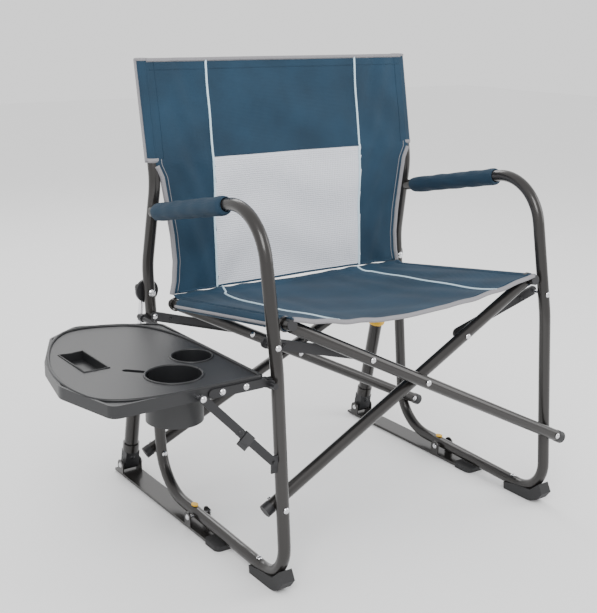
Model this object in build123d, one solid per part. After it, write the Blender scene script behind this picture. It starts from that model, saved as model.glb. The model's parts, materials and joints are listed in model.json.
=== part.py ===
from build123d import *
from math import atan, atan2, cos, degrees, hypot, sin
import copy
import os

# Camp rocking chair with a folding side table.
# Millimetres. +X is the viewer's right when facing the chair, the sitter looks along -Y, +Z is up.
# The functions draw the chair with x = 0 midway between the side frames, y = 0 just behind its front
# feet and z = 0 on the floor. Last of all it is moved so that the origin is the centre of its footprint.
# left_ parts are on the side-table side (-X), right_ parts on the other side (+X).

# ---- tube stock and running fits ----
TRACK = 616.0            # between the two side-frame planes
TUBE_R = 11.0            # 22 mm steel tube of the side frames and scissor bars
TUBE_WALL = 1.5
RAIL_R = 9.5             # 19 mm seat-rail tube
RAIL_WALL = 1.5
FIT = 0.08               # radial running clearance of every pin in its hole
CLEAR = 0.5              # gap between soft parts and the tubes they go round

# ---- side frame centre line, as (y, z) corners ----
ARM_REAR = (404.0, 577.0)
ARM_FRONT = (36.0, 652.0)
KNEE = (-14.0, 385.0)
TOE = (-44.0, 17.0)
HEEL = (387.0, 31.0)
LUMBAR = (433.0, 468.0)
NECK = (404.0, 632.0)
TOP = (445.0, 846.0)
ARM_BEND, KNEE_BEND, TOE_BEND, HEEL_BEND, LUMBAR_BEND, NECK_BEND = 95.0, 300.0, 62.0, 95.0, 150.0, 150.0
TOP_INSET = 6.0          # the uprights lean inboard by this much above the lumbar bend

# ---- scissor fold ----
FRONT_PIVOT_Z = 153.0    # lower pivots of the front X on the front legs
REAR_PIVOT_Z = 100.0     # lower pivots of the rear X on the rear legs
RAIL_RISE = 300.0        # seat-rail hinges above their lower pivots
RAIL_X = 277.5           # seat rails from the mid-plane
RAIL_HINGE_FRONT_Y = 9.0
RAIL_HINGE_REAR_Y = 379.0
FRONT_STANDOFF = 24.5    # bar centre in front of or behind a front leg's centre
REAR_STANDOFFS = {-1: 30.5, 1: 34.0}  # the same at the rear by lower side, where the legs curve forward
REAR_HEAD_GAP = 3.2      # bolt heads at the rear pivots clear the leg's curve
BAR_OVERHANG = 20.0      # bar past its lower pivot
EYE_BORE = 10.4          # bar eye round the seat rail
EYE_R = 13.2
EYE_WIDTH = 6.0
LINK_PIVOT = 130.0       # link pivots along the bars, above the crossing
FRONT_LINK_Z = 424.0     # link pivots on the front legs
REAR_LINK_Z = 374.0      # link pivots on the rear legs
LINK_WIDTH = 18.0
LINK_THICK = 5.0
FRONT_LINK_Y = (18.5, 22.5)  # middle of the left and right front links' thickness
FOLD_RANGE = 48.5        # degrees that each bar turns

# ---- rocker feet and pistons ----
FOOT_PIVOT_Y = 253.0
FOOT_PIVOT_Z = 23.0
FOOT_FRONT_Y = 146.0
FOOT_REAR_Y = 566.0
FOOT_WIDTH = 44.0
FOOT_TOP = 7.0
FOOT_GAUGE = 2.0
PAD_DROP = 2.0           # rubber pads lift the steel foot off the floor
ROCK_RANGE = 10.0
PISTON_FOOT = (540.0, 22.0)
PISTON_HEAD = (458.0, 418.0)
PISTON_R = 14.5
PISTON_LENGTH = 222.0    # foot pivot to cylinder top
ROD_R = 5.0
ROD_SLACK = 1.8          # rod eye round its pin

# ---- side table ----
AXLE = (-327.0, 370.0)   # x, z of the hinge axle, which runs front to back
AXLE_R = 5.0
TABLE_TOP = 385.0
TABLE_SKIRT = 18.0
TABLE_WALL = 3.0
TABLE_RIM = 2.0
TABLE_OUTLINE = [(-339, -22), (-598, -22), (-628, 103), (-605, 219), (-546, 341), (-479, 388), (-339, 325)]
TABLE_CORNERS = [6, 16, 40, 60, 30, 24, 30]
CUP = (-453.0, 62.0)
CUP_R = 44.0
CUP_DEPTH = 72.0
MUG = (-384.0, 128.0)
MUG_R = 33.0
MUG_DEPTH = 40.0
HANDLE_SLOT_END = (-508.0, 121.0)
HANDLE_SLOT_WIDTH = 11.0
HANDLE_SLOT_DEPTH = 34.0
PHONE_SLOT = (-546.0, 198.0)
PHONE_SIZE = (40.0, 100.0)
PHONE_DEPTH = 14.0
BRACE_TABLE = (-458.0, 376.0)
BRACE_ELBOW = (-392.5, 308.0)
BRACE_LEG = (-327.0, 240.0)
BRACE_WIDTH = 14.0
BRACE_THICK = 3.0
BRACE_UPPER_Y = -40.0    # the links fold in front of the table's bolts
BRACE_LOWER_Y = -34.5
STRAP_WIDTH = 15.0
STRAP_Z = TABLE_TOP - TABLE_WALL - STRAP_WIDTH / 2
REAR_STRAP_Y = 300.0
SHOE_SCREW_Y = 38.0
PLUG_Y = 263.0
LOCK_LENGTH = 20.0

# ---- soft parts ----
SEAT_SHEET = 2.5
SEAT_SAG = 30.0
SEAT_FRONT_Y = -12.0
SEAT_REAR_Y = 386.0
BACK_SHEET = 2.5
BACK_BOTTOM = (392.0, 414.0)
BACK_TOP_Z = 852.0
BACK_WAIST = 262.0       # half width of the back where it is narrowest
ARM_SLEEVE_R = 17.0
ARM_SLEEVE_FRONT_Y = 138.0
ARM_SLEEVE_REAR_Y = 384.0

# ---- worked-out sizes ----
HALF = TRACK / 2
ELEVATION = atan(RAIL_RISE / (HALF + RAIL_X))
LOWER_BAR = HALF / cos(ELEVATION)
UPPER_BAR = RAIL_X / cos(ELEVATION)
RAIL_SLOPE = atan((FRONT_PIVOT_Z - REAR_PIVOT_Z) / (RAIL_HINGE_REAR_Y - RAIL_HINGE_FRONT_Y))
BOLT_R = 3.0
LEAN_GAP = 0.8           # bolt heads and nuts stand off a tube that leans
CROSS_GAP = 1.4          # the same at the crossings, where the bars also turn
HEAD_R = 5.5
UP = (Align.CENTER, Align.CENTER, Align.MIN)


def on_line(start, end, z):
    """y of the straight line through two (y, z) points, at height z."""
    return start[0] + (end[0] - start[0]) * (z - start[1]) / (end[1] - start[1])


def front_leg_y(z):
    return on_line(KNEE, ARM_FRONT, z) if z > KNEE[1] else on_line(TOE, KNEE, z)


def rear_leg_y(z):
    return on_line(HEEL, LUMBAR, z)


def base_z(y):
    return TOE[1] + (HEEL[1] - TOE[1]) * (y - TOE[0]) / (HEEL[0] - TOE[0])


def arm_z(y):
    return ARM_REAR[1] + (ARM_FRONT[1] - ARM_REAR[1]) * (y - ARM_REAR[0]) / (ARM_FRONT[0] - ARM_REAR[0])


def rail_z(y):
    return FRONT_PIVOT_Z + RAIL_RISE - (y - RAIL_HINGE_FRONT_Y) * sin(RAIL_SLOPE) / cos(RAIL_SLOPE)


def rod(start, end, radius):
    """Solid round bar between two points."""
    axis = Vector(*end) - Vector(*start)
    return Plane(origin=start, z_dir=axis) * Cylinder(radius, axis.length, align=UP)


def pipe(start, end, radius, wall):
    return rod(start, end, radius) - rod(start, end, radius - wall)


def bolt(head, towards, length, nut=True, radius=BOLT_R, head_radius=HEAD_R):
    """Domed bolt: head seat at one point, shank running along a direction, and a hex nut at its end."""
    dome = 3.0
    ball = (head_radius ** 2 + dome ** 2) / (2 * dome)
    cap = Cylinder(head_radius, dome, align=(Align.CENTER, Align.CENTER, Align.MAX))
    cap = cap & (Pos(0, 0, ball - dome) * Sphere(ball))
    shape = cap + Cylinder(radius, length, align=UP)
    if nut:
        hexagon = extrude(RegularPolygon(head_radius, 6), 4.0)
        shape += Pos(0, 0, length - 4.0) * hexagon
    return Plane(origin=head, z_dir=towards) * shape


def strip(start, end, width, thickness, y):
    """Round-ended flat bar between two (x, z) points, centred on y."""
    run = hypot(end[0] - start[0], end[1] - start[1])
    turn = degrees(atan2(end[1] - start[1], end[0] - start[0]))
    face = SlotCenterToCenter(run, width)
    middle = ((start[0] + end[0]) / 2, y + thickness / 2, (start[1] + end[1]) / 2)
    slab = Rot(0, 0, turn) * extrude(face, thickness)
    return Plane(origin=middle, x_dir=(1, 0, 0), z_dir=(0, -1, 0)) * slab


def y_hole(x, y, z, reach=60.0, radius=BOLT_R + FIT):
    return rod((x, y - reach, z), (x, y + reach, z), radius)


# ---------------- side frames ----------------
def side_path(side):
    x = side * HALF
    inset = side * (HALF - TOP_INSET)
    corners = [ARM_REAR, ARM_FRONT, KNEE, TOE, HEEL, LUMBAR]
    points = [(x, y, z) for y, z in corners] + [(inset, *NECK), (inset, *TOP)]
    return FilletPolyline(*points, radius=[ARM_BEND, KNEE_BEND, TOE_BEND, HEEL_BEND, LUMBAR_BEND, NECK_BEND])


def swept(side, radius):
    """Solid round bar along the whole side-frame centre line."""
    path = side_path(side)
    return sweep(Plane(origin=path @ 0, z_dir=path % 0) * Circle(radius), path=path).solid()


def hollow_sweep(side, radius, wall):
    """Bent tube stitched from the outer skin, the inner skin and two ring-shaped ends."""
    outer = swept(side, radius)
    inner = swept(side, radius - wall)
    skins = [face for face in outer.faces() if face.geom_type != GeomType.PLANE]
    skins += [-face for face in inner.faces() if face.geom_type != GeomType.PLANE]
    holes = inner.faces().filter_by(GeomType.PLANE)
    for end in outer.faces().filter_by(GeomType.PLANE):
        hole = holes.sort_by_distance(end.center())[0]
        skins.append(Face(end.outer_wire(), [hole.outer_wire()]))
    return Solid(Shell(skins))


def side_tube(side):
    x = side * HALF
    tube = hollow_sweep(side, TUBE_R, TUBE_WALL)
    for y, z in frame_bolt_places():
        tube -= y_hole(x, y, z, reach=30)
    tube -= rod((x - 30, FOOT_PIVOT_Y, FOOT_PIVOT_Z), (x + 30, FOOT_PIVOT_Y, FOOT_PIVOT_Z), BOLT_R + FIT)
    tube -= rod((x, SHOE_SCREW_Y, 0), (x, SHOE_SCREW_Y, 40), BOLT_R + FIT)
    tube -= rod((x, PLUG_Y, base_z(PLUG_Y)), (x, PLUG_Y, base_z(PLUG_Y) + 20), BOLT_R + FIT)
    return tube


def frame_bolt_places():
    """(y, z) of the holes that run front to back through the legs."""
    front = [(front_leg_y(z), z) for z in (FRONT_PIVOT_Z, FRONT_LINK_Z)]
    rear = [(rear_leg_y(z), z) for z in (REAR_PIVOT_Z, REAR_LINK_Z, PISTON_HEAD[1])]
    return front + rear


def front_shoe(side):
    """Rubber shoe hugging the underside of the toe bend."""
    x = side * HALF
    half_width = TUBE_R + 2.0
    outline = [(-52, 26), (-40, 10), (-24, 2), (-14, 0), (50, 0), (52, 14), (20, 20), (-20, 24), (-42, 44)]
    face = make_face(Polyline(*outline, close=True))
    drawing = Plane(origin=(x + half_width, 0, 0), x_dir=(0, 1, 0), z_dir=(1, 0, 0))
    shape = drawing * extrude(face, -2 * half_width)
    shape -= swept(side, TUBE_R)
    shape -= rod((x, SHOE_SCREW_Y, 1.5), (x, SHOE_SCREW_Y, 40), BOLT_R + FIT)
    return max(shape.solids(), key=lambda solid: solid.volume)


def base_plug(side):
    x = side * HALF
    top = base_z(PLUG_Y) + TUBE_R + 0.3
    plug = extrude(Ellipse(6.0, 8.0), 2.5) + Pos(0, 0, -4) * Cylinder(BOLT_R, 4.5, align=UP)
    return Plane(origin=(x, PLUG_Y, top)) * plug


def upright_cap(side):
    end = Vector(side * (HALF - TOP_INSET), *TOP)
    lean = (end - Vector(side * (HALF - TOP_INSET), *NECK)).normalized()
    stem = Pos(0, 0, -12) * Cylinder(TUBE_R - TUBE_WALL - 0.05, 12.2, align=UP)
    plug = Cylinder(TUBE_R, 2.5, align=UP) + stem
    return Plane(origin=end, z_dir=lean) * plug


def arm_sleeve(side):
    """Wrap-round armrest pad, loose on the outboard side so that the seat rail can pass inboard of it."""
    x = side * HALF
    start = (x, ARM_SLEEVE_FRONT_Y, arm_z(ARM_SLEEVE_FRONT_Y))
    end = (x, ARM_SLEEVE_REAR_Y, arm_z(ARM_SLEEVE_REAR_Y))
    shift = Vector(side * (ARM_SLEEVE_R - TUBE_R - 1.2), 0, -2.0)
    outer = rod(tuple(Vector(*start) + shift), tuple(Vector(*end) + shift), ARM_SLEEVE_R)
    way = (Vector(*end) - Vector(*start)).normalized() * 5
    return outer - rod(tuple(Vector(*start) - way), tuple(Vector(*end) + way), TUBE_R + 0.2)


def piston_mount(side):
    """Round plate bolted behind the upright, with two ears that hold the piston's upper pin."""
    x = side * HALF
    y, z = PISTON_HEAD
    face_y = rear_leg_y(z) + TUBE_R
    shape = rod((x, face_y - 3, z), (x, face_y + 3.5, z), 23.0)
    for ear in (-1, 1):
        inner = x + ear * 8.0
        shape += rod((inner, y, z), (inner + ear * 3.0, y, z), 10.0)
        web = Pos(inner + ear * 1.5, (face_y + 1 + y) / 2, z) * Box(3.0, y - face_y - 1, 20.0)
        shape += web
    shape -= swept(side, TUBE_R)
    shape -= y_hole(x, face_y, z, reach=12)
    shape -= rod((x - 30, y, z), (x + 30, y, z), BOLT_R + FIT)
    return max(shape.solids(), key=lambda solid: solid.volume)


def frame_bolts(side):
    x = side * HALF
    back = (0, 1, 0)
    parts = []
    front_y = front_leg_y(FRONT_PIVOT_Z)
    rear_y = rear_leg_y(REAR_PIVOT_Z)
    pivots = [(front_y, FRONT_PIVOT_Z, FRONT_STANDOFF, LEAN_GAP)]
    pivots.append((rear_y, REAR_PIVOT_Z, REAR_STANDOFFS[side], REAR_HEAD_GAP if side < 0 else LEAN_GAP))
    for y, z, standoff, head_gap in pivots:
        near = TUBE_R if side < 0 else standoff + TUBE_R
        grip = standoff + 2 * TUBE_R + 4.0 + head_gap + LEAN_GAP
        parts.append(bolt((x, y - near - head_gap, z), back, grip))
    leg_y = front_leg_y(FRONT_LINK_Z)
    head_y = leg_y - TUBE_R - LEAN_GAP
    reach = link_y("front", side) + LINK_THICK / 2 + 5.0 - head_y
    parts.append(bolt((x, head_y, FRONT_LINK_Z), back, reach))
    leg_y = rear_leg_y(REAR_LINK_Z)
    head_y = link_y("rear", side) - LINK_THICK / 2 - 0.5
    parts.append(bolt((x, head_y, REAR_LINK_Z), back, leg_y + TUBE_R + 4.0 + LEAN_GAP - head_y))
    leg_y = rear_leg_y(PISTON_HEAD[1])
    head_y = leg_y - TUBE_R - LEAN_GAP
    parts.append(bolt((x, head_y, PISTON_HEAD[1]), back, 2 * TUBE_R + 4.5, nut=False, head_radius=7.0))
    y, z = PISTON_HEAD
    parts.append(bolt((x - 11.0, y, z), (1, 0, 0), 26.5))
    top = base_z(SHOE_SCREW_Y) + TUBE_R + 0.4
    parts.append(bolt((x, SHOE_SCREW_Y, top), (0, 0, -1), 2 * TUBE_R + 2.4, nut=False))
    return Compound(children=parts)


# ---------------- scissor bars, links and seat rails ----------------
def bar_line(end, lower_side):
    """Lower pivot, upper eye and direction of a bar. end is front or rear; lower_side is its lower leg."""
    leg_z = FRONT_PIVOT_Z if end == "front" else REAR_PIVOT_Z
    leg_y = front_leg_y(leg_z) if end == "front" else rear_leg_y(leg_z)
    eye_y = RAIL_HINGE_FRONT_Y if end == "front" else RAIL_HINGE_REAR_Y
    standoff = FRONT_STANDOFF if end == "front" else REAR_STANDOFFS[lower_side]
    lower = Vector(lower_side * HALF, leg_y - lower_side * standoff, leg_z)
    upper = Vector(-lower_side * RAIL_X, eye_y, leg_z + RAIL_RISE)
    return lower, upper, (upper - lower).normalized()


def along_bar(end, lower_side, past_crossing):
    """Point on a bar's centre line at a distance above the crossing, measured in the XZ plane."""
    lower, upper, _ = bar_line(end, lower_side)
    share = (LOWER_BAR + past_crossing) / (LOWER_BAR + UPPER_BAR)
    return lower + (upper - lower) * share


def bar(end, lower_side):
    lower, upper, way = bar_line(end, lower_side)
    start = lower - way * BAR_OVERHANG
    stop = upper - way * (EYE_R - 0.7)
    shape = pipe(tuple(start), tuple(stop), TUBE_R, TUBE_WALL)
    shape += rod(tuple(stop - way * 3), tuple(stop), TUBE_R - 0.4)
    half = EYE_WIDTH / 2
    shape += rod((upper.X, upper.Y - half, upper.Z), (upper.X, upper.Y + half, upper.Z), EYE_R)
    shape -= rod((upper.X, upper.Y - 40, upper.Z), (upper.X, upper.Y + 40, upper.Z), EYE_BORE)
    for place in (lower, along_bar(end, lower_side, 0), along_bar(end, lower_side, LINK_PIVOT)):
        shape -= y_hole(place.X, place.Y, place.Z, reach=20)
    return max(shape.solids(), key=lambda solid: solid.volume)


def bar_cap(end, lower_side):
    lower, _, way = bar_line(end, lower_side)
    mouth = lower - way * (BAR_OVERHANG - 12)
    face = lower - way * (BAR_OVERHANG + 2.5)
    shape = rod(tuple(mouth), tuple(face), TUBE_R + 0.7)
    shape = fillet(shape.edges().filter_by(GeomType.CIRCLE), 0.6)
    return shape - rod(tuple(mouth + way), tuple(lower - way * BAR_OVERHANG), TUBE_R + 0.02)


def bar_bolts(end, lower_side):
    """Link bolt of one bar; the bar that starts on the left leg also carries the crossing bolt."""
    place = along_bar(end, lower_side, LINK_PIVOT)
    head_y = place.Y - TUBE_R - LEAN_GAP
    parts = [bolt((place.X, head_y, place.Z), (0, 1, 0), 2 * TUBE_R - 0.5, nut=False)]
    if lower_side < 0:
        front = along_bar(end, 1, 0)
        back = along_bar(end, -1, 0)
        grip = back.Y - front.Y + 2 * TUBE_R + 4.0 + 2 * CROSS_GAP
        parts.append(bolt((front.X, front.Y - TUBE_R - CROSS_GAP, front.Z), (0, 1, 0), grip))
    return Compound(children=parts)


def link_y(end, side):
    """Middle of a link's thickness: links lie just behind the bars that they meet."""
    if end == "rear":
        return rear_leg_y(REAR_LINK_Z) - TUBE_R - LINK_THICK / 2 - 1.6
    return FRONT_LINK_Y[0] if side < 0 else FRONT_LINK_Y[1]


def link(end, side):
    """Stamped link from a leg to the bar that passes it, with its own rivet and free-end washer."""
    z = FRONT_LINK_Z if end == "front" else REAR_LINK_Z
    y = link_y(end, side)
    place = along_bar(end, -side, LINK_PIVOT)
    near = (side * HALF, z)
    far = (place.X, place.Z)
    shape = strip(near, far, LINK_WIDTH, LINK_THICK, y)
    hollow_near = (near[0] + (far[0] - near[0]) * 0.30, near[1] + (far[1] - near[1]) * 0.30)
    hollow_far = (near[0] + (far[0] - near[0]) * 0.84, near[1] + (far[1] - near[1]) * 0.84)
    open_side = y + LINK_THICK / 2 if end == "front" else y - LINK_THICK / 2
    shape -= strip(hollow_near, hollow_far, LINK_WIDTH - 4.0, LINK_THICK, open_side)
    shape -= y_hole(near[0], y, near[1], reach=20)
    rivet_at = (near[0] + (far[0] - near[0]) * 0.17, near[1] + (far[1] - near[1]) * 0.17)
    front_y = y - LINK_THICK / 2
    shape += bolt((rivet_at[0], front_y + 0.1, rivet_at[1]), (0, 1, 0), 3.0, nut=False, head_radius=4.0)
    back_y = y + LINK_THICK / 2
    shape += bolt((far[0], back_y - 0.1, far[1]), (0, -1, 0), 3.0, nut=False)
    return shape


def rail_ends(side):
    front = Vector(side * RAIL_X, SEAT_FRONT_Y + 2, rail_z(SEAT_FRONT_Y + 2))
    rear = Vector(side * RAIL_X, SEAT_REAR_Y + 4, rail_z(SEAT_REAR_Y + 4))
    return front, rear


def seat_rail(side):
    front, rear = rail_ends(side)
    return pipe(tuple(front), tuple(rear), RAIL_R, RAIL_WALL)


def rail_caps(side):
    front, rear = rail_ends(side)
    way = (rear - front).normalized()
    parts = []
    for end, out in ((front, way * -1), (rear, way)):
        cap = rod(tuple(end), tuple(end + out * 2.5), RAIL_R)
        cap += rod(tuple(end - out * 10), tuple(end + out), RAIL_R - RAIL_WALL - 0.05)
        parts.append(cap)
    return Compound(children=parts)


# ---------------- rocker feet and pistons ----------------
def foot_bar(side):
    """Pressed channel on the floor with two pairs of upturned ears."""
    x = side * HALF
    length = FOOT_REAR_Y - FOOT_FRONT_Y
    middle = (FOOT_REAR_Y + FOOT_FRONT_Y) / 2
    height = FOOT_TOP - PAD_DROP
    shape = Pos(x, middle, PAD_DROP) * Box(FOOT_WIDTH, length, height, align=UP)
    hollow = Box(FOOT_WIDTH - 2 * FOOT_GAUGE, length - 2 * FOOT_GAUGE, height - FOOT_GAUGE, align=UP)
    shape -= Pos(x, middle, PAD_DROP) * hollow
    for (y, z), radius in ((FOOT_PIVOT_Y, FOOT_PIVOT_Z), 11.0), (PISTON_FOOT, 12.0):
        for ear in (-1, 1):
            outer = x + ear * FOOT_WIDTH / 2
            inner = outer - ear * 2.5
            profile = rod((inner, y, z), (outer, y, z), radius)
            profile += Pos((inner + outer) / 2, y, (z + PAD_DROP) / 2) * Box(2.5, 2 * radius, z - PAD_DROP)
            shape += profile
        shape -= rod((x - 40, y, z), (x + 40, y, z), BOLT_R + FIT)
    return shape


def foot_pads(side):
    """Rubber toe cap over the channel's front end, and a pad under its rear end."""
    x = side * HALF
    toe = Box(FOOT_WIDTH + 5, 50, FOOT_TOP + 2.5, align=(Align.CENTER, Align.MIN, Align.MIN))
    toe = Pos(x, FOOT_FRONT_Y - 5, 0) * toe
    toe = fillet(toe.edges().filter_by(Axis.Z), 12)
    pocket = Box(FOOT_WIDTH, 60, FOOT_TOP - PAD_DROP, align=(Align.CENTER, Align.MIN, Align.MIN))
    toe -= Pos(x, FOOT_FRONT_Y, PAD_DROP) * pocket
    tail = Pos(x, FOOT_REAR_Y - 2 * FOOT_GAUGE - 28, 0) * Box(34, 40, FOOT_TOP - FOOT_GAUGE, align=UP)
    return Compound(children=[toe.solid(), tail.solid()])


def foot_pins(side):
    x = side * HALF
    grip = FOOT_WIDTH + 5.0
    pins = ((FOOT_PIVOT_Y, FOOT_PIVOT_Z), PISTON_FOOT)
    parts = [bolt((x - FOOT_WIDTH / 2, y, z), (1, 0, 0), grip) for y, z in pins]
    return Compound(children=parts)


def piston_axis(side):
    foot = Vector(side * HALF, *PISTON_FOOT)
    head = Vector(side * HALF, *PISTON_HEAD)
    return foot, head, (head - foot).normalized()


def piston_cylinder(side):
    foot, _, way = piston_axis(side)
    base = foot + way * 34
    top = foot + way * PISTON_LENGTH
    shape = rod(tuple(base), tuple(top), PISTON_R)
    shape += rod(tuple(base), tuple(base + way * 18), PISTON_R + 2.5)
    shape += rod(tuple(top), tuple(top + way * 15), 7.4)
    shape -= rod(tuple(base + way * 4), tuple(top - way * 6), PISTON_R - 2.0)
    return shape - rod(tuple(base + way * 4), tuple(top + way * 20), ROD_R + FIT)


def piston_bumper(side):
    foot, _, way = piston_axis(side)
    ring = Torus(13.4, 5.9)
    ring -= Cylinder(7.45, 20)
    return Plane(origin=foot + way * (PISTON_LENGTH + 6.0), z_dir=way) * ring


def piston_knuckle(side):
    """Cross-pinned block between the foot's rear ears and the cylinder."""
    foot, _, way = piston_axis(side)
    x = side * HALF
    y, z = PISTON_FOOT
    block = rod((x - 15, y, z), (x + 15, y, z), 11.0)
    block += Plane(origin=foot + way * 17, z_dir=way, x_dir=(1, 0, 0)) * Box(30, 22, 33.9)
    block -= rod((x - 30, y, z), (x + 30, y, z), BOLT_R + FIT)
    front = foot + way * 20
    return block + bolt((front.X, front.Y - 11.2, front.Z), (0, 1, 0), 6.0, nut=False)


def piston_rod(side):
    foot, head, way = piston_axis(side)
    x = side * HALF
    y, z = PISTON_HEAD
    piston_at = foot + way * (PISTON_LENGTH - 60)
    shape = rod(tuple(piston_at), tuple(head - way * 6), ROD_R)
    shape += rod(tuple(piston_at), tuple(piston_at + way * 12), PISTON_R - 2.0 - FIT)
    shape += rod((x - 7, y, z), (x + 7, y, z), 9.0)
    return shape - rod((x - 20, y, z), (x + 20, y, z), BOLT_R + ROD_SLACK)


# ---------------- slings ----------------
def seat_plane(y):
    """Cross-section plane of the seat at a rail position, square to the rails, drawn in x and height."""
    return Plane(origin=(0, y, rail_z(y)), x_dir=(1, 0, 0), z_dir=(0, -cos(RAIL_SLOPE), sin(RAIL_SLOPE)))


def seat_sling():
    """Seat cloth between the rails with a half sleeve over each rail."""
    inner = RAIL_R + CLEAR
    outer = inner + 1.2
    length = (SEAT_REAR_Y - SEAT_FRONT_Y) / cos(RAIL_SLOPE)
    top = ThreePointArc((-RAIL_X, outer), (0, outer - SEAT_SAG), (RAIL_X, outer))
    under = outer - SEAT_SHEET
    low = ThreePointArc((RAIL_X, under), (0, under - SEAT_SAG), (-RAIL_X, under))
    sheet = make_face(top + Line(top @ 1, low @ 0) + low + Line(low @ 1, top @ 0))
    profile = sheet
    for side in (-1, 1):
        ring = Pos(side * RAIL_X, 0) * (Circle(outer) - Circle(inner))
        keep = Pos(side * (RAIL_X + outer / 2), 0) * Rectangle(outer, 3 * outer)
        profile = profile - Pos(side * RAIL_X, 0) * Circle(inner) + (ring & keep)
    shape = extrude(seat_plane(SEAT_REAR_Y) * profile, length)
    for side in (-1, 1):
        for y in (RAIL_HINGE_FRONT_Y, RAIL_HINGE_REAR_Y):
            slot = Box(80, EYE_WIDTH + 3, 2 * EYE_R + 3)
            shape -= Pos(side * (RAIL_X + 22), y, rail_z(y)) * slot
    return shape.solid()


def back_sling():
    """Back cloth: sleeves on the uprights above the neck bend, and a free waisted panel below it."""
    top_y = on_line(NECK, TOP, BACK_TOP_Z)
    neck_z = NECK[1] + 34
    neck_y = on_line(NECK, TOP, neck_z) - TUBE_R - CLEAR
    top_front = top_y - TUBE_R - CLEAR
    side_view = [BACK_BOTTOM, (neck_y, neck_z), (top_front, BACK_TOP_Z)]
    rear_view = [(y + BACK_SHEET, z) for y, z in reversed(side_view)]
    sheet = make_face(Polyline(*side_view, *rear_view, close=True))
    edge = HALF - TOP_INSET
    body = Plane(origin=(-edge, 0, 0), x_dir=(0, 1, 0), z_dir=(1, 0, 0)) * extrude(sheet, 2 * edge)
    shape = body
    for side in (-1, 1):
        waist = [(edge + 9, neck_z), (edge - 17, neck_z - 16), (BACK_WAIST + 14, 590), (BACK_WAIST + 3, 530)]
        waist += [(BACK_WAIST, 480), (BACK_WAIST + 6, 400), (edge + 40, 400), (edge + 40, neck_z)]
        cut = make_face(Polyline(*[(side * x, z) for x, z in waist], close=True))
        shape -= Pos(0, 600, 0) * extrude(Plane.XZ * cut, 400)
        axis_low = Vector(side * edge, on_line(NECK, TOP, neck_z + 6), neck_z + 6)
        axis_top = Vector(side * edge, on_line(NECK, TOP, BACK_TOP_Z), BACK_TOP_Z)
        sleeve = pipe(tuple(axis_low), tuple(axis_top), TUBE_R + CLEAR + 1.2, 1.2)
        shape += sleeve
        bore = rod(tuple(axis_low), tuple(axis_top + (axis_top - axis_low) * 0.1), TUBE_R + CLEAR)
        shape -= bore
        shape -= swept(side, TUBE_R + CLEAR)
    return max(shape.solids(), key=lambda solid: solid.volume)


# ---------------- side table ----------------
def table_outline():
    path = Polyline(*TABLE_OUTLINE, close=True)
    face = make_face(path)
    for (x, y), radius in zip(TABLE_OUTLINE, TABLE_CORNERS):
        corner = face.vertices().sort_by_distance((x, y))[0]
        face = fillet(corner, radius)
    return face


def table_top():
    outline = table_outline()
    low = TABLE_TOP - TABLE_SKIRT
    shape = Pos(0, 0, low) * extrude(outline, TABLE_SKIRT + TABLE_RIM)
    shape -= Pos(0, 0, low) * extrude(offset(outline, -TABLE_WALL), TABLE_SKIRT - TABLE_WALL)
    shape -= Pos(0, 0, TABLE_TOP) * extrude(offset(outline, -TABLE_WALL - 1), TABLE_RIM)
    wall = 2.5
    cups = ((CUP, CUP_R, CUP_DEPTH), (MUG, MUG_R, MUG_DEPTH))
    for (x, y), radius, depth in cups:
        shape += rod((x, y, TABLE_TOP - depth - wall), (x, y, TABLE_TOP), radius + wall)
    for (x, y), radius, depth in cups:
        shape -= rod((x, y, TABLE_TOP - depth), (x, y, TABLE_TOP + 10), radius)
    run = hypot(HANDLE_SLOT_END[0] - CUP[0], HANDLE_SLOT_END[1] - CUP[1])
    turn = degrees(atan2(HANDLE_SLOT_END[1] - CUP[1], HANDLE_SLOT_END[0] - CUP[0]))
    centre = ((HANDLE_SLOT_END[0] + CUP[0]) / 2, (HANDLE_SLOT_END[1] + CUP[1]) / 2)
    trough = Rot(0, 0, turn) * SlotCenterToCenter(run, HANDLE_SLOT_WIDTH + 2 * wall)
    slot = Rot(0, 0, turn) * SlotCenterToCenter(run, HANDLE_SLOT_WIDTH)
    cup_room = rod((*CUP, TABLE_TOP - CUP_DEPTH), (*CUP, TABLE_TOP + 1), CUP_R)
    trough = extrude(trough, HANDLE_SLOT_DEPTH + wall)
    shape += Pos(*centre, TABLE_TOP - HANDLE_SLOT_DEPTH - wall) * trough - cup_room
    shape -= Pos(*centre, TABLE_TOP - HANDLE_SLOT_DEPTH) * extrude(slot, HANDLE_SLOT_DEPTH + 5)
    px, py = PHONE_SLOT
    dish = Box(PHONE_SIZE[0] + 2 * wall, PHONE_SIZE[1] + 2 * wall, PHONE_DEPTH + wall, align=UP)
    shape += Pos(px, py, TABLE_TOP - PHONE_DEPTH - wall) * dish
    shape -= Pos(px, py, TABLE_TOP - PHONE_DEPTH) * Box(*PHONE_SIZE, PHONE_DEPTH + 5, align=UP)
    for x, z in table_bolt_places():
        shape -= y_hole(x, TABLE_OUTLINE[0][1], z, reach=8)
    notch = Box(4 * TABLE_WALL, 3.6, TABLE_SKIRT - TABLE_WALL, align=UP)
    shape -= Pos(TABLE_OUTLINE[0][0], REAR_STRAP_Y, low) * notch
    return max(shape.solids(), key=lambda solid: solid.volume)


def table_bolt_places():
    """(x, z) of the bolts through the table's front wall: two for the strap and one for the brace."""
    return [(-415.0, STRAP_Z), (-372.0, STRAP_Z), BRACE_TABLE]


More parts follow.
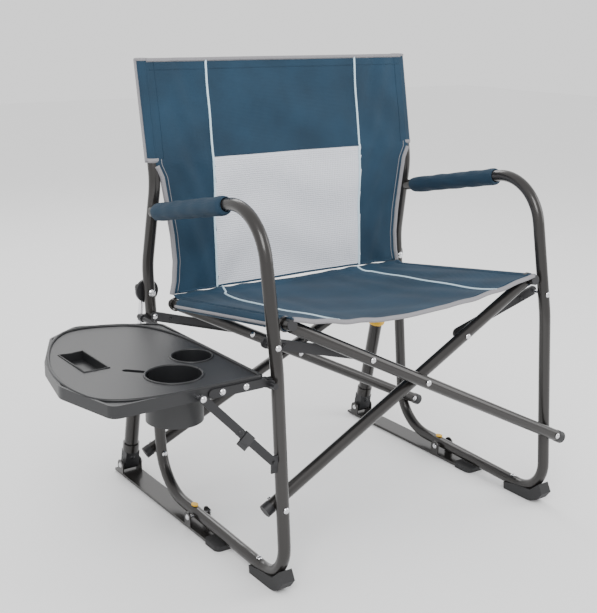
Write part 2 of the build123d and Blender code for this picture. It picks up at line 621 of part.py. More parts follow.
def table_straps():
    """Front and rear steel straps, each curled round the axle."""
    parts = []
    front_wall = TABLE_OUTLINE[0][1]
    for y in (front_wall - 1.6, REAR_STRAP_Y):
        shape = strip((-432.0, STRAP_Z), (AXLE[0] - 16, STRAP_Z), STRAP_WIDTH, 3.0, y)
        shape += strip((AXLE[0] - 16, STRAP_Z), AXLE, 12.0, 3.0, y)
        shape += rod((AXLE[0], y - 2.5, AXLE[1]), (AXLE[0], y + 2.5, AXLE[1]), AXLE_R + 2.5)
        shape -= rod((AXLE[0], y - 20, AXLE[1]), (AXLE[0], y + 20, AXLE[1]), AXLE_R + FIT)
        if y < 0:
            for x, z in table_bolt_places()[:2]:
                shape -= y_hole(x, y, z, reach=8)
        parts.append(shape)
    return Compound(children=[part.solid() for part in parts])


def table_bolts():
    front = TABLE_OUTLINE[0][1] - 3.1
    places = table_bolt_places()
    parts = [bolt((x, front, z), (0, 1, 0), 12.0) for x, z in places[:2]]
    x, z = places[2]
    head_y = BRACE_UPPER_Y - BRACE_THICK / 2
    parts.append(bolt((x, head_y, z), (0, 1, 0), TABLE_OUTLINE[0][1] + TABLE_WALL + 4.3 - head_y))
    return Compound(children=parts)


def table_axle():
    rear = rear_leg_y(AXLE[1]) + 14
    return rod((AXLE[0], -40, AXLE[1]), (AXLE[0], rear, AXLE[1]), AXLE_R)


def table_clamps():
    """Clamp plates that hold the axle against both left legs, and the brace bracket on the front leg."""
    x, z = AXLE
    gap = -HALF - x - TUBE_R
    parts = []
    for y in (front_leg_y(z) + 4, rear_leg_y(z)):
        block = rod((x, y - 6, z), (x, y + 6, z), AXLE_R + 2.5)
        block += Pos(x + (gap + TUBE_R) / 2, y, z) * Box(gap + TUBE_R, 12, 12)
        block -= swept(-1, TUBE_R)
        block -= rod((x, y - 20, z), (x, y + 20, z), AXLE_R)
        parts.append(max(block.solids(), key=lambda solid: solid.volume))
    bx, bz = BRACE_LEG
    y = front_leg_y(bz)
    bracket = Pos(-HALF - TUBE_R / 2 - 4, y - 4.5, bz - 6) * Box(24, 3, 30)
    bracket += rod((bx, y - 6, bz), (bx, y - 3, bz), 6.5)
    bracket -= swept(-1, TUBE_R)
    bracket = max(bracket.solids(), key=lambda solid: solid.volume)
    pin = rod((bx, BRACE_LOWER_Y - 3.5, bz), (bx, y - 3, bz), BOLT_R)
    parts.append(bracket + pin)
    return Compound(children=parts)


def brace_upper_link():
    shape = strip(BRACE_TABLE, BRACE_ELBOW, BRACE_WIDTH, BRACE_THICK, BRACE_UPPER_Y)
    shape -= y_hole(BRACE_TABLE[0], BRACE_UPPER_Y, BRACE_TABLE[1], reach=8)
    head = (BRACE_ELBOW[0], BRACE_UPPER_Y - BRACE_THICK / 2 + 0.1, BRACE_ELBOW[1])
    return shape + bolt(head, (0, 1, 0), 2.5, nut=False)


def brace_lower_link():
    shape = strip(BRACE_ELBOW, BRACE_LEG, BRACE_WIDTH, BRACE_THICK, BRACE_LOWER_Y)
    return shape - y_hole(BRACE_LEG[0], BRACE_LOWER_Y, BRACE_LEG[1], reach=8)


def brace_lock_slider():
    """Sliding collar round the lower link, next to the elbow."""
    run = hypot(BRACE_LEG[0] - BRACE_ELBOW[0], BRACE_LEG[1] - BRACE_ELBOW[1])
    ux = (BRACE_LEG[0] - BRACE_ELBOW[0]) / run
    uz = (BRACE_LEG[1] - BRACE_ELBOW[1]) / run
    middle = (BRACE_ELBOW[0] + ux * 22, BRACE_LOWER_Y, BRACE_ELBOW[1] + uz * 22)
    frame = Plane(origin=middle, x_dir=(ux, 0, uz), z_dir=(0, -1, 0))
    collar = Box(LOCK_LENGTH, BRACE_WIDTH + 4, BRACE_THICK + 2.4)
    collar -= Box(LOCK_LENGTH + 2, BRACE_WIDTH + 0.4, BRACE_THICK + 0.4)
    tab = Pos(0, -BRACE_WIDTH / 2 - 6, 0) * Box(LOCK_LENGTH, 9, BRACE_THICK)
    return frame * (collar + tab)


# ---------------- export ----------------
def build():
    """Every named piece of the chair."""
    pieces = {}
    for name, side in (("left", -1), ("right", 1)):
        pieces[f"{name}_side_tube"] = side_tube(side)
        pieces[f"{name}_front_shoe"] = front_shoe(side)
        pieces[f"{name}_base_plug"] = base_plug(side)
        pieces[f"{name}_upright_cap"] = upright_cap(side)
        pieces[f"{name}_arm_sleeve"] = arm_sleeve(side)
        pieces[f"{name}_piston_mount"] = piston_mount(side)
        pieces[f"{name}_frame_bolts"] = frame_bolts(side)
        pieces[f"{name}_foot_bar"] = foot_bar(side)
        pieces[f"{name}_foot_pads"] = foot_pads(side)
        pieces[f"{name}_foot_pins"] = foot_pins(side)
        pieces[f"{name}_piston_cylinder"] = piston_cylinder(side)
        pieces[f"{name}_piston_bumper"] = piston_bumper(side)
        pieces[f"{name}_piston_knuckle"] = piston_knuckle(side)
        pieces[f"{name}_piston_rod"] = piston_rod(side)
        pieces[f"{name}_seat_rail"] = seat_rail(side)
        pieces[f"{name}_rail_caps"] = rail_caps(side)
        for end in ("front", "rear"):
            pieces[f"{end}_{name}_link"] = link(end, side)
            pieces[f"{end}_bar_from_{name}"] = bar(end, side)
            pieces[f"{end}_bar_from_{name}_cap"] = bar_cap(end, side)
            pieces[f"{end}_bar_from_{name}_bolts"] = bar_bolts(end, side)
    pieces["seat_sling"] = seat_sling()
    pieces["back_sling"] = back_sling()
    pieces["table_top"] = table_top()
    pieces["table_straps"] = table_straps()
    pieces["table_bolts"] = table_bolts()
    pieces["table_axle"] = table_axle()
    pieces["table_clamps"] = table_clamps()
    pieces["brace_upper_link"] = brace_upper_link()
    pieces["brace_lower_link"] = brace_lower_link()
    pieces["brace_lock_slider"] = brace_lock_slider()
    return pieces


os.makedirs("parts", exist_ok=True)
chair = build()
footprint = Compound(children=[copy.copy(shape) for shape in chair.values()]).bounding_box().center()
for node, shape in chair.items():
    export_step(Pos(-footprint.X, -footprint.Y, 0) * shape, f"parts/{node}.step")
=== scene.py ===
import bpy
import json
import math
import numpy as np
from mathutils import Matrix, Vector


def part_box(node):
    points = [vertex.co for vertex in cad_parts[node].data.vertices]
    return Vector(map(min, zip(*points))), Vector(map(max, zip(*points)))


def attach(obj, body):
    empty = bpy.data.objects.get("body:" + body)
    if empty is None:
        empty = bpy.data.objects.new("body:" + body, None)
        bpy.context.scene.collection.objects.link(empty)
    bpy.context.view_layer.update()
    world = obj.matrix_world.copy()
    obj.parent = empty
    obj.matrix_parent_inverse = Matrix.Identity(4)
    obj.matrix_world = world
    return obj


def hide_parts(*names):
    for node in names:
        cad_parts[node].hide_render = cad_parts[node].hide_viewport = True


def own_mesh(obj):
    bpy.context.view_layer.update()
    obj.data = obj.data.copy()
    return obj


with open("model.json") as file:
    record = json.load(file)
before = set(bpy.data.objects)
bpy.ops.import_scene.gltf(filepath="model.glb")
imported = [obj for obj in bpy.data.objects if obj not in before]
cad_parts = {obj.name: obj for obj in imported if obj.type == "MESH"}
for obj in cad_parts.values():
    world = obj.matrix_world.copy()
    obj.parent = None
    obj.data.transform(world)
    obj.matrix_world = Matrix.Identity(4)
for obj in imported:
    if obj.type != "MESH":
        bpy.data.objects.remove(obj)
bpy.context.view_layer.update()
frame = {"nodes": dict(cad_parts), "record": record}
record = frame["record"]
nodes = frame["nodes"]

# ---- reference positions, read from the model ----
LEFT_LO, LEFT_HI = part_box("left_side_tube")
RIGHT_LO, RIGHT_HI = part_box("right_side_tube")
RAIL_L_LO, RAIL_L_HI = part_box("left_seat_rail")
RAIL_R_LO, RAIL_R_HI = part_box("right_seat_rail")
BACK_LO, BACK_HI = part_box("back_sling")
SEAT_LO, SEAT_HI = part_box("seat_sling")
TUBE_R = 0.011
RAIL_R = 0.0095
MID_X = (LEFT_LO.x + RIGHT_HI.x) / 2
HALF = (RIGHT_HI.x - LEFT_LO.x) / 2 - TUBE_R
ZERO_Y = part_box("left_front_shoe")[0].y + 0.052
RAIL_X = (RAIL_R_LO.x + RAIL_R_HI.x) / 2 - MID_X
UPRIGHT_X = HALF - 0.006
SEAT_SAG = 0.030
CLOTH = 0.0022          # thickness of the seat and back cloth
SLEEVE_WALL = 0.0012
SIDES = ((-1, "left"), (1, "right"))


# ---- materials ----
def material(name, color, rough, metal=0.0, coat=0.0, sheen=0.0):
    """Shader with even values; bumps and mottling are added to it afterwards."""
    mat = bpy.data.materials.new(name)
    mat.use_nodes = True
    shader = mat.node_tree.nodes["Principled BSDF"]
    shader.inputs["Base Color"].default_value = (*color, 1.0)
    shader.inputs["Roughness"].default_value = rough
    shader.inputs["Metallic"].default_value = metal
    shader.inputs["Coat Weight"].default_value = coat
    shader.inputs["Sheen Weight"].default_value = sheen
    shader.inputs["Specular IOR Level"].default_value = 0.5
    return mat


def nodes_of(mat):
    """Nodes, links and main shader of a material."""
    tree = mat.node_tree
    return tree.nodes, tree.links, tree.nodes["Principled BSDF"]


def noise(mat, scale):
    """Fine-grained noise in object coordinates."""
    made, links, _ = nodes_of(mat)
    coord = made.new("ShaderNodeTexCoord")
    tex = made.new("ShaderNodeTexNoise")
    tex.inputs["Scale"].default_value = scale
    tex.inputs["Detail"].default_value = 4.0
    links.new(coord.outputs["Object"], tex.inputs["Vector"])
    return tex


def add_bump(mat, source, strength, distance):
    made, links, shader = nodes_of(mat)
    bump = made.new("ShaderNodeBump")
    bump.inputs["Strength"].default_value = strength
    bump.inputs["Distance"].default_value = distance
    links.new(source, bump.inputs["Height"])
    links.new(bump.outputs["Normal"], shader.inputs["Normal"])


def add_mottle(mat, scale, dark, light):
    """Base colour drifts between two tones."""
    made, links, shader = nodes_of(mat)
    tex = noise(mat, scale)
    ramp = made.new("ShaderNodeValToRGB")
    ramp.color_ramp.elements[0].position = 0.32
    ramp.color_ramp.elements[0].color = (*dark, 1.0)
    ramp.color_ramp.elements[1].position = 0.68
    ramp.color_ramp.elements[1].color = (*light, 1.0)
    links.new(tex.outputs["Fac"], ramp.inputs["Fac"])
    links.new(ramp.outputs["Color"], shader.inputs["Base Color"])
    return tex


def weave(mat, pitch, strength):
    """Crossed ribs of woven cloth as a bump."""
    made, links, _ = nodes_of(mat)
    coord = made.new("ShaderNodeTexCoord")
    waves = []
    for direction in ("X", "Z"):
        wave = made.new("ShaderNodeTexWave")
        wave.bands_direction = direction
        wave.inputs["Scale"].default_value = 1.0 / pitch / 3.2
        wave.inputs["Distortion"].default_value = 0.6
        links.new(coord.outputs["Object"], wave.inputs["Vector"])
        waves.append(wave)
    mix = made.new("ShaderNodeMath")
    mix.operation = "ADD"
    links.new(waves[0].outputs["Fac"], mix.inputs[0])
    links.new(waves[1].outputs["Fac"], mix.inputs[1])
    add_bump(mat, mix.outputs["Value"], strength, 0.0006)


paint = material("frame_paint", (0.024, 0.022, 0.021), 0.28, metal=0.45, coat=0.35)
add_bump(paint, noise(paint, 1400.0).outputs["Fac"], 0.05, 0.0003)
strap = material("strap_paint", (0.022, 0.022, 0.024), 0.42, metal=0.4)
add_bump(strap, noise(strap, 1200.0).outputs["Fac"], 0.06, 0.0003)
rubber = material("dark_rubber", (0.018, 0.018, 0.019), 0.72)
add_bump(rubber, noise(rubber, 600.0).outputs["Fac"], 0.15, 0.0005)
plastic = material("black_plastic", (0.016, 0.016, 0.018), 0.45)
add_bump(plastic, noise(plastic, 900.0).outputs["Fac"], 0.08, 0.0003)
yellow = material("yellow_plastic", (0.76, 0.43, 0.012), 0.42)
add_bump(yellow, noise(yellow, 500.0).outputs["Fac"], 0.05, 0.0003)
steel = material("bolt_steel", (0.66, 0.66, 0.68), 0.24, metal=1.0)
add_bump(steel, noise(steel, 700.0).outputs["Fac"], 0.03, 0.0002)
chrome = material("rod_chrome", (0.78, 0.78, 0.80), 0.10, metal=1.0)
arm_cloth = material("arm_fabric", (0.0045, 0.026, 0.052), 0.85, sheen=0.02)
weave(arm_cloth, 0.0022, 0.35)
blue = material("blue_fabric", (0.0055, 0.032, 0.063), 0.84, sheen=0.02)
add_mottle(blue, 11.0, (0.0042, 0.026, 0.052), (0.0070, 0.038, 0.074))
weave(blue, 0.0026, 0.30)
mesh_cloth = material("mesh_panel", (0.70, 0.72, 0.78), 0.80)
weave(mesh_cloth, 0.0042, 0.7)
piping_mat = material("piping", (0.58, 0.76, 0.86), 0.6)
binding_mat = material("binding", (0.24, 0.235, 0.25), 0.7)
weave(binding_mat, 0.003, 0.4)
table_mat = material("table_plastic", (0.011, 0.0115, 0.013), 0.42)
add_bump(table_mat, noise(table_mat, 1100.0).outputs["Fac"], 0.16, 0.0004)
slots = {
    "frame_paint": paint, "strap_paint": strap, "dark_rubber": rubber, "black_plastic": plastic,
    "yellow_plastic": yellow, "bolt_steel": steel, "rod_chrome": chrome, "arm_fabric": arm_cloth,
    "blue_fabric": blue, "table_plastic": table_mat,
}
for part in record["subparts"]:
    node = nodes[part["node"]]
    node.data.materials.clear()
    node.data.materials.append(slots[part["material_slot"]])


# ---- mesh helpers ----
def add_mesh(name, verts, faces, mats, face_mats=None, smooth=True):
    mesh = bpy.data.meshes.new(name)
    mesh.from_pydata([tuple(v) for v in verts], [], faces)
    for mat in mats:
        mesh.materials.append(mat)
    if face_mats is not None:
        mesh.polygons.foreach_set("material_index", face_mats)
    mesh.polygons.foreach_set("use_smooth", [smooth] * len(mesh.polygons))
    mesh.update()
    obj = bpy.data.objects.new(name, mesh)
    bpy.context.scene.collection.objects.link(obj)
    return obj


def cloth(name, points, thickness, mats, zone=None):
    """Closed two-sided sheet from a grid of points; zone(i, j) picks each face's material."""
    rows, cols, _ = points.shape
    du = np.gradient(points, axis=1)
    dv = np.gradient(points, axis=0)
    normal = np.cross(du, dv)
    normal /= np.linalg.norm(normal, axis=2, keepdims=True)
    sides = [points + normal * thickness / 2, points - normal * thickness / 2]
    both = np.concatenate([side.reshape(-1, 3) for side in sides])
    half = rows * cols
    faces, picks = [], []
    for i in range(rows - 1):
        for j in range(cols - 1):
            a, b, c, d = i * cols + j, i * cols + j + 1, (i + 1) * cols + j + 1, (i + 1) * cols + j
            pick = zone(i, j) if zone else 0
            faces += [(a, b, c, d), (half + d, half + c, half + b, half + a)]
            picks += [pick, pick]
    rim = [(0, j) for j in range(cols)] + [(i, cols - 1) for i in range(1, rows)]
    rim += [(rows - 1, j) for j in range(cols - 2, -1, -1)] + [(i, 0) for i in range(rows - 2, 0, -1)]
    ring = [i * cols + j for i, j in rim]
    for a, b in zip(ring, ring[1:] + ring[:1]):
        faces.append((b, a, half + a, half + b))
        picks.append(0)
    return add_mesh(name, both, faces, mats, picks)


def tube(name, centres, radii, mat, sides=10):
    """Tube of changing radius along a list of points."""
    centres = np.array(centres, float)
    radii = np.broadcast_to(np.asarray(radii, float), (len(centres),))
    verts, faces = [], []
    way = np.gradient(centres, axis=0)
    side = np.cross(way[0], (0.0, 0.0, 1.0))
    if np.linalg.norm(side) < 1e-9:
        side = np.array((1.0, 0.0, 0.0))
    for centre, direction, radius in zip(centres, way, radii):
        direction = direction / np.linalg.norm(direction)
        side = side - direction * side.dot(direction)
        side /= np.linalg.norm(side)
        other = np.cross(direction, side)
        for k in range(sides):
            t = 2 * math.pi * k / sides
            verts.append(centre + radius * (math.cos(t) * side + math.sin(t) * other))
    for i in range(len(centres) - 1):
        for k in range(sides):
            m = (k + 1) % sides
            faces.append((i * sides + k, i * sides + m, (i + 1) * sides + m, (i + 1) * sides + k))
    faces.append(tuple(range(sides - 1, -1, -1)))
    last = (len(centres) - 1) * sides
    faces.append(tuple(last + k for k in range(sides)))
    return add_mesh(name, verts, faces, [mat])


def sleeve(name, start, end, inner, wall, mat):
    """Cloth tube round a bar, with slight gathers; an open ring at both ends."""
    start, end = np.array(start, float), np.array(end, float)
    axis = (end - start) / np.linalg.norm(end - start)
    side = np.cross(axis, (0.0, 1.0, 0.0))
    side /= np.linalg.norm(side)
    other = np.cross(axis, side)
    length = np.linalg.norm(end - start)
    count, sides = 60, 28
    grid = np.zeros((count, sides + 1, 3))
    for i in range(count):
        s = i / (count - 1)
        for k in range(sides + 1):
            t = 2 * math.pi * k / sides
            gather = 0.00035 * math.sin(9 * t + 14 * s) * math.sin(s * length / 0.021)
            radius = inner + wall / 2 + 0.0003 + gather
            grid[i, k] = start + axis * length * s + radius * (math.cos(t) * side + math.sin(t) * other)
    return cloth(name, grid, wall, [mat])


# ---- seat ----
def seat_height(y):
    """Rail axis height at a distance from the front."""
    front, rear = RAIL_L_LO.y, RAIL_L_HI.y
    slope = (RAIL_L_LO.z + RAIL_R - (RAIL_L_HI.z - RAIL_R)) / (rear - front)
    return RAIL_L_HI.z - RAIL_R + slope * (y - front)


SEAT_FRONT, SEAT_REAR = SEAT_LO.y + 0.004, SEAT_HI.y - 0.001
TOP_OF_RAIL = RAIL_R + 0.0017
ROWS, COLS = 90, 130
seat_grid = np.zeros((ROWS, COLS, 3))
for i in range(ROWS):
    v = i / (ROWS - 1)
    y = SEAT_FRONT + (SEAT_REAR - SEAT_FRONT) * v
    for j in range(COLS):
        u = 2 * j / (COLS - 1) - 1
        sag = (0.003 + SEAT_SAG * (1 - v) ** 0.7) * (1 - u * u)
        pull = math.sin(math.pi * v) * 0.009 * (1 - u * u)
        crease = 0.0022 * math.sin(24 * u * (1.0 + 0.35 * v) + 3 * v) * (abs(u) ** 2) * (1 - abs(u)) * 4
        ripple = 0.0014 * math.sin(17 * v + 2.5 * math.sin(3 * u)) * (1 - u * u)
        z = seat_height(y) + TOP_OF_RAIL - sag - pull + crease + ripple
        turned_up = max(0.0, (v - 0.955) / 0.045)
        z += 0.006 * turned_up ** 2
        bow = 0.006 * (1 - u * u) * (1 - v) ** 3 + 0.006 * turned_up * (1 - abs(u) ** 8)
        seat_grid[i, j] = (MID_X + u * RAIL_X, y + bow, z)
seat = cloth("seat_cloth", seat_grid, CLOTH, [blue])
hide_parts("seat_sling")


def on_grid(grid, u, v):
    """Point of a cloth grid at shares of its width and length."""
    rows, cols, _ = grid.shape
    a, b = v * (rows - 1), u * (cols - 1)
    i, j = min(int(a), rows - 2), min(int(b), cols - 2)
    fa, fb = a - i, b - j
    low = grid[i, j] * (1 - fb) + grid[i, j + 1] * fb
    high = grid[i + 1, j] * (1 - fb) + grid[i + 1, j + 1] * fb
    return low * (1 - fa) + high * fa


def seat_line(name, path, radius, lift, mat):
    points = [on_grid(seat_grid, u, v) + np.array((0, 0, lift)) for u, v in path]
    return tube(name, points, radius, mat)


def smooth_path(corners, count=70):
    """Evenly spaced points along a polyline with softened corners."""
    corners = np.array(corners, float)
    for _ in range(4):
        cut = [corners[0]]
        for a, b in zip(corners[:-1], corners[1:]):
            cut += [a * 0.75 + b * 0.25, a * 0.25 + b * 0.75]
        cut.append(corners[-1])
        corners = np.array(cut)
    gaps = np.r_[0, np.cumsum(np.linalg.norm(np.diff(corners, axis=0), axis=1))]
    want = np.linspace(0, gaps[-1], count)
    return np.stack([np.interp(want, gaps, corners[:, k]) for k in range(corners.shape[1])], axis=1)


seat_extras = []
for side, name in SIDES:
    at = 0.5 + side * 0.335
    rear_turn = [(0.5 + side * 0.30, 1.0), (0.5 + side * 0.31, 0.95), (at, 0.93)]
    path = smooth_path(rear_turn + [(at, 0.5), (at - side * 0.01, 0.0)])
    seat_extras.append(seat_line(f"seat_piping_{name}", path, 0.0019, 0.0016, piping_mat))
    for k, offset in enumerate((0.008, 0.014)):
        stitch = [(0.5 + side * (0.5 - offset * 1.5), v) for v in np.linspace(0.01, 0.99, 60)]
        seat_extras.append(seat_line(f"seat_stitch_{name}_{k}", stitch, 0.0006, 0.0012, blue))
hem = [(u, 0.028) for u in np.linspace(0.01, 0.99, 120)]
seat_extras.append(seat_line("seat_hem_stitch", hem, 0.0007, 0.0012, blue))
hem_roll = [(u, 0.004) for u in np.linspace(0.005, 0.995, 120)]
seat_extras.append(seat_line("seat_front_binding", hem_roll, 0.0042, -0.0012, binding_mat))

for piece in [seat] + seat_extras:
    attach(piece, "left_rail")
    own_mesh(piece)

for side, name in SIDES:
    x = MID_X + side * RAIL_X
    ya = SEAT_FRONT + (SEAT_REAR - SEAT_FRONT) * 0.045
    yb = SEAT_FRONT + (SEAT_REAR - SEAT_FRONT) * 0.93
    front_end = (x, ya, seat_height(ya))
    rear_end = (x, yb, seat_height(yb))
    tube_cloth = sleeve(f"seat_sleeve_{name}", front_end, rear_end, RAIL_R, SLEEVE_WALL, blue)
    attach(tube_cloth, f"{name}_rail")
    out = side * (RAIL_R + 0.0022)
    edge = [(x + out, y, seat_height(y) - 0.001) for y in np.linspace(ya, yb, 40)]
    trim = tube(f"seat_side_binding_{name}", edge, 0.0028, binding_mat)
    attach(trim, f"{name}_rail")


# ---- back ----
BOTTOM_Z, TOP_Z = BACK_LO.z, BACK_HI.z - 0.003
BEND_Z = 0.664
BOTTOM_Y = ZERO_Y + 0.3935
BEND_Y = ZERO_Y + 0.3985
TOP_Y = ZERO_Y + 0.4345


def back_front(z):
    """y of the cloth where it is stretched between the uprights."""
    if z < BEND_Z:
        share = (z - BOTTOM_Z) / (BEND_Z - BOTTOM_Z)
        return BOTTOM_Y + (BEND_Y - BOTTOM_Y) * share
    return BEND_Y + (TOP_Y - BEND_Y) * (z - BEND_Z) / (TOP_Z - BEND_Z)


WAIST = [(0.414, 0.279), (0.440, 0.273), (0.480, 0.270), (0.530, 0.274), (0.590, 0.283), (0.640, 0.291)]
WAIST += [(BEND_Z, 0.302), (0.860, 0.302)]


def back_half(z):
    return float(np.interp(z, [w[0] for w in WAIST], [w[1] for w in WAIST]))


ROWS, COLS = 120, 130
back_grid = np.zeros((ROWS, COLS, 3))
for i in range(ROWS):
    z = BOTTOM_Z + 0.002 + (TOP_Z - BOTTOM_Z - 0.002) * i / (ROWS - 1)
    h = (z - BOTTOM_Z) / (TOP_Z - BOTTOM_Z)
    half = back_half(z)
    for j in range(COLS):
        u = 2 * j / (COLS - 1) - 1
        sag = 0.013 * (1 - u * u) * math.sin(math.pi * min(1.0, 0.15 + 0.8 * h))
        drape = 0.0022 * math.sin(22 * h + 4 * u * u + 1.5 * math.sin(5 * u)) * (1 - u * u)
        rays = 0.0030 * math.sin(26 * abs(u) + 7 * h + 2 * math.sin(9 * h))
        tension = rays * abs(u) ** 3 * (1 - abs(u)) * 4
        fold = 0.0026 * math.sin(34 * (abs(u) - 0.55 * h)) * math.exp(-((abs(u) - 0.78) / 0.13) ** 2)
        y = back_front(z) + sag + drape + tension + fold * (1 - abs(u) ** 6)
        back_grid[i, j] = (MID_X + u * half, y, z)

PANEL_HALF, PANEL_TOP = 0.176, 0.671


def back_zone(i, j):
    x, _, z = back_grid[i, j]
    inside = abs(x - MID_X) < PANEL_HALF and z < PANEL_TOP
    return 1 if inside else 0


back = cloth("back_cloth", back_grid, CLOTH, [blue, mesh_cloth], back_zone)
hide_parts("back_sling")


def back_point(x, z, lift):
    half = back_half(z)
    h = (z - BOTTOM_Z - 0.002) / (TOP_Z - BOTTOM_Z - 0.002)
    point = on_grid(back_grid, min(max((x / half + 1) / 2, 0.0), 1.0), min(max(h, 0.0), 1.0))
    return point + np.array((0, -lift, 0))


def back_line(name, points, radius, lift, mat, sides=10):
    return tube(name, [back_point(x, z, lift) for x, z in points], radius, mat, sides=sides)


back_extras = []
for side, name in SIDES:
    line = [(side * PANEL_HALF, z) for z in np.linspace(BOTTOM_Z + 0.002, TOP_Z - 0.001, 110)]
    back_extras.append(back_line(f"back_piping_{name}", line, 0.0021, 0.0016, piping_mat))
    edge = [(side * back_half(z) * 0.997, z) for z in np.linspace(BOTTOM_Z + 0.002, BEND_Z - 0.002, 90)]
    back_extras.append(back_line(f"back_binding_{name}", edge, 0.0046, 0.0, binding_mat, sides=12))
    stitch = [(side * (back_half(z) - 0.012), z) for z in np.linspace(BOTTOM_Z + 0.006, BEND_Z + 0.01, 80)]
    back_extras.append(back_line(f"back_edge_stitch_{name}", stitch, 0.0007, 0.0012, binding_mat, sides=8))
    stitch = [(side * (0.302 - 0.018), z) for z in np.linspace(BEND_Z + 0.01, TOP_Z - 0.004, 60)]
    back_extras.append(back_line(f"back_sleeve_stitch_{name}", stitch, 0.0007, 0.0012, blue, sides=8))
top_seam = [(x, PANEL_TOP) for x in np.linspace(-PANEL_HALF, PANEL_HALF, 90)]
back_extras.append(back_line("back_panel_seam", top_seam, 0.0016, 0.0014, blue))
top_hem = [(x, TOP_Z - 0.018) for x in np.linspace(-0.295, 0.295, 110)]
back_extras.append(back_line("back_top_stitch", top_hem, 0.0007, 0.0012, blue, sides=8))
roll = [(x, TOP_Z - 0.001) for x in np.linspace(-0.300, 0.300, 110)]
back_extras.append(back_line("back_top_binding", roll, 0.0040, 0.0, binding_mat))
bottom_roll = [(x, BOTTOM_Z + 0.004) for x in np.linspace(-0.262, 0.262, 110)]
back_extras.append(back_line("back_bottom_roll", bottom_roll, 0.0024, 0.0, blue))

for piece in [back] + back_extras:
    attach(piece, "left_frame")
    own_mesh(piece)

for side, name in SIDES:
    x = MID_X + side * UPRIGHT_X
    gap = TUBE_R + 0.0006
    low = (x, back_front(0.668) + gap + 0.0003, 0.668)
    top = (x, back_front(TOP_Z) + gap + 0.0003, TOP_Z)
    back_sleeve = sleeve(f"back_sleeve_{name}", low, top, TUBE_R + 0.0001, SLEEVE_WALL, blue)
    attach(back_sleeve, f"{name}_frame")
    low, top = np.array(low), np.array(top)
    cuff_line = [low + np.array((0, 0, rise)) for rise in (0.0, 0.004, 0.008)]
    cuff_radii = [TUBE_R + 0.0018, TUBE_R + 0.0024, TUBE_R + 0.0018]
    cuff = tube(f"back_sleeve_cuff_{name}", cuff_line, cuff_radii, binding_mat, sides=28)
    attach(cuff, f"{name}_frame")
    out = np.array((side * (TUBE_R + 0.0022), 0.0, 0.0))
    rim_line = [low + out + (top - low) * s for s in np.linspace(0, 1, 40)]
    rim = tube(f"back_side_binding_{name}", rim_line, 0.0030, binding_mat)
    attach(rim, f"{name}_frame")
    turn = np.linspace(0, 2 * math.pi, 40)
    ring = [top + (TUBE_R + 0.0012) * np.array((math.cos(t), math.sin(t), 0.0)) for t in turn]
    crown = tube(f"back_top_ring_{name}", ring, 0.0026, binding_mat, sides=8)
    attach(crown, f"{name}_frame")


# ---- armrest pads ----
def arm_height(y):
    """Height of the armrest tube's axis; it falls 75 mm over 368 mm from its front bend."""
    return 0.652 - (y - 0.036) * 75.0 / 368.0


def pad_swell(s):
    """Share of the pad's full thickness along its length: round shoulders, then full."""
    near_end = min(s, 1 - s)
    if near_end >= 0.045:
        return 1.0
    return math.sqrt(max(0.0, 1 - (1 - near_end / 0.045) ** 2))


for side, name in SIDES:
    count, sides = 80, 36
    x = MID_X + side * HALF
    start = np.array((x, ZERO_Y + 0.1385, arm_height(0.1385)))
    end = np.array((x, ZERO_Y + 0.3835, arm_height(0.3835)))
    axis = (end - start) / np.linalg.norm(end - start)
    across = np.array((1.0, 0.0, 0.0))
    up = np.cross(across, axis)
    grid = np.zeros((count, sides + 1, 3))
    for i in range(count):
        s = i / (count - 1)
        swell = pad_swell(s)
        centre = start + (end - start) * s + (np.array((side * 0.0038, 0, 0)) - up * 0.0015) * swell
        for k in range(sides + 1):
            t = 2 * math.pi * k / sides
            wrinkle = 0.00045 * math.sin(31 * s + 2.0 * math.cos(t)) + 0.0003 * math.sin(5 * t + 19 * s)
            radius = 0.0122 + (0.0036 + wrinkle) * swell
            grid[i, k] = centre + radius * (math.cos(t) * across + math.sin(t) * up)
    pad = cloth(f"{name}_arm_pad", grid, 0.0012, [arm_cloth])
    seam_t = math.radians(-120 if side < 0 else -60)
    seam_k = int(round((seam_t % (2 * math.pi)) / (2 * math.pi) * sides))
    seam_line = [grid[i, seam_k] for i in range(3, count - 3)]
    seam = tube(f"{name}_arm_pad_seam", seam_line, 0.0012, arm_cloth, sides=8)
    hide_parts(f"{name}_arm_sleeve")
    for piece in (pad, seam):
        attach(piece, f"{name}_frame")


# ---- side table trim ----
TABLE_LO, TABLE_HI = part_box("table_top")
TABLE_Z = TABLE_HI.z - 0.002


def table_loop(name, points, radius, z):
    """Raised bead of the moulding along a closed line."""
    ring = [(x, y, z) for x, y in points]
    trim = tube(name, ring, radius, table_mat)
    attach(trim, "table")
    return trim


def circle(cx, cy, radius):
    turn = np.linspace(0.0, 2 * math.pi, 64)
    return [(cx + radius * math.cos(t), cy + radius * math.sin(t)) for t in turn]


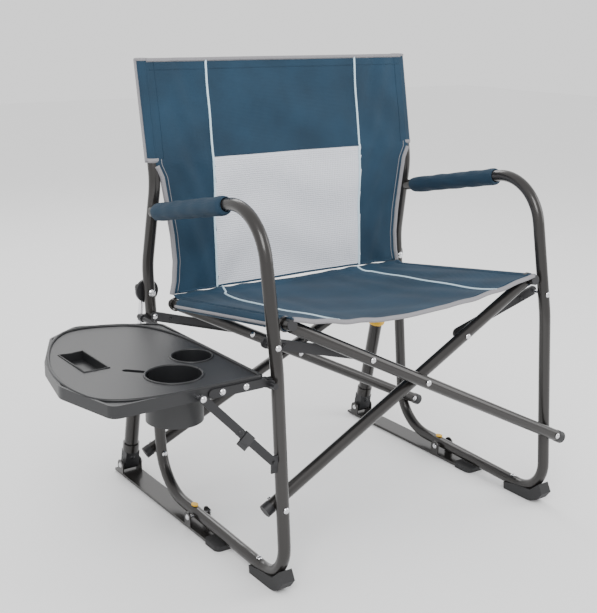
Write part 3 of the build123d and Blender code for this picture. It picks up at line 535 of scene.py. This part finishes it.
CUP = (MID_X - 0.453, ZERO_Y + 0.062)
MUG = (MID_X - 0.384, ZERO_Y + 0.128)
table_loop("table_cup_rim", circle(*CUP, 0.0462), 0.0022, TABLE_Z)
table_loop("table_mug_rim", circle(*MUG, 0.0352), 0.0020, TABLE_Z)
PHONE = (MID_X - 0.546, ZERO_Y + 0.198)
corners = [(-0.0215, -0.0515), (0.0215, -0.0515), (0.0215, 0.0515), (-0.0215, 0.0515), (-0.0215, -0.0515)]
table_loop("table_phone_rim", [(PHONE[0] + a, PHONE[1] + b) for a, b in corners], 0.0018, TABLE_Z)
outline = [(-0.342, -0.0195), (-0.596, -0.0195), (-0.6245, 0.103), (-0.602, 0.218)]
outline += [(-0.5445, 0.338), (-0.479, 0.3845), (-0.342, 0.3225)]
loop = smooth_path([(MID_X + x, ZERO_Y + y) for x, y in outline + outline[:1]], 160)
table_loop("table_lip", loop, 0.0030, TABLE_HI.z - 0.0012)


# ---- camera and studio ----
yaw, pitch, roll = math.radians(34.92), math.radians(15.44), math.radians(-0.64)
camera_data = bpy.data.cameras.new("camera")
camera_data.sensor_width = 36.0
camera_data.lens = 62.63
camera_data.shift_y = -0.004
camera = bpy.data.objects.new("camera", camera_data)
bpy.context.scene.collection.objects.link(camera)
camera.location = (MID_X - 1.20404, ZERO_Y - 1.35513, 0.94227)
look = Vector((math.sin(yaw) * math.cos(pitch), math.cos(yaw) * math.cos(pitch), -math.sin(pitch)))
camera.rotation_mode = "QUATERNION"
camera.rotation_quaternion = look.to_track_quat("-Z", "Y") @ Matrix.Rotation(-roll, 4, "Z").to_quaternion()
bpy.context.scene.camera = camera

floor_mat = material("studio_floor", (0.94, 0.94, 0.94), 0.9)
floor_corners = [(x, y, -0.0005) for x, y in ((-9, -9), (9, -9), (9, 9), (-9, 9))]
floor = add_mesh("studio_floor", floor_corners, [(0, 1, 2, 3)], [floor_mat])
world = bpy.data.worlds.new("studio")
bpy.context.scene.world = world
world.use_nodes = True
world.node_tree.nodes["Background"].inputs["Color"].default_value = (1.0, 1.0, 1.0, 1.0)
world.node_tree.nodes["Background"].inputs["Strength"].default_value = 1.25


def area_light(name, place, size, power):
    data = bpy.data.lights.new(name, "AREA")
    data.shape = "RECTANGLE"
    data.size, data.size_y = size
    data.energy = power
    lamp = bpy.data.objects.new(name, data)
    bpy.context.scene.collection.objects.link(lamp)
    lamp.location = place
    aim = Vector((MID_X, ZERO_Y + 0.2, 0.45)) - Vector(place)
    lamp.rotation_mode = "QUATERNION"
    lamp.rotation_quaternion = aim.to_track_quat("-Z", "Y")


area_light("key", (-1.6, -2.2, 2.6), (1.6, 1.6), 75.0)
area_light("fill", (2.4, -1.4, 1.6), (1.4, 1.8), 24.0)
area_light("back", (0.6, 2.4, 2.4), (1.8, 1.2), 30.0)
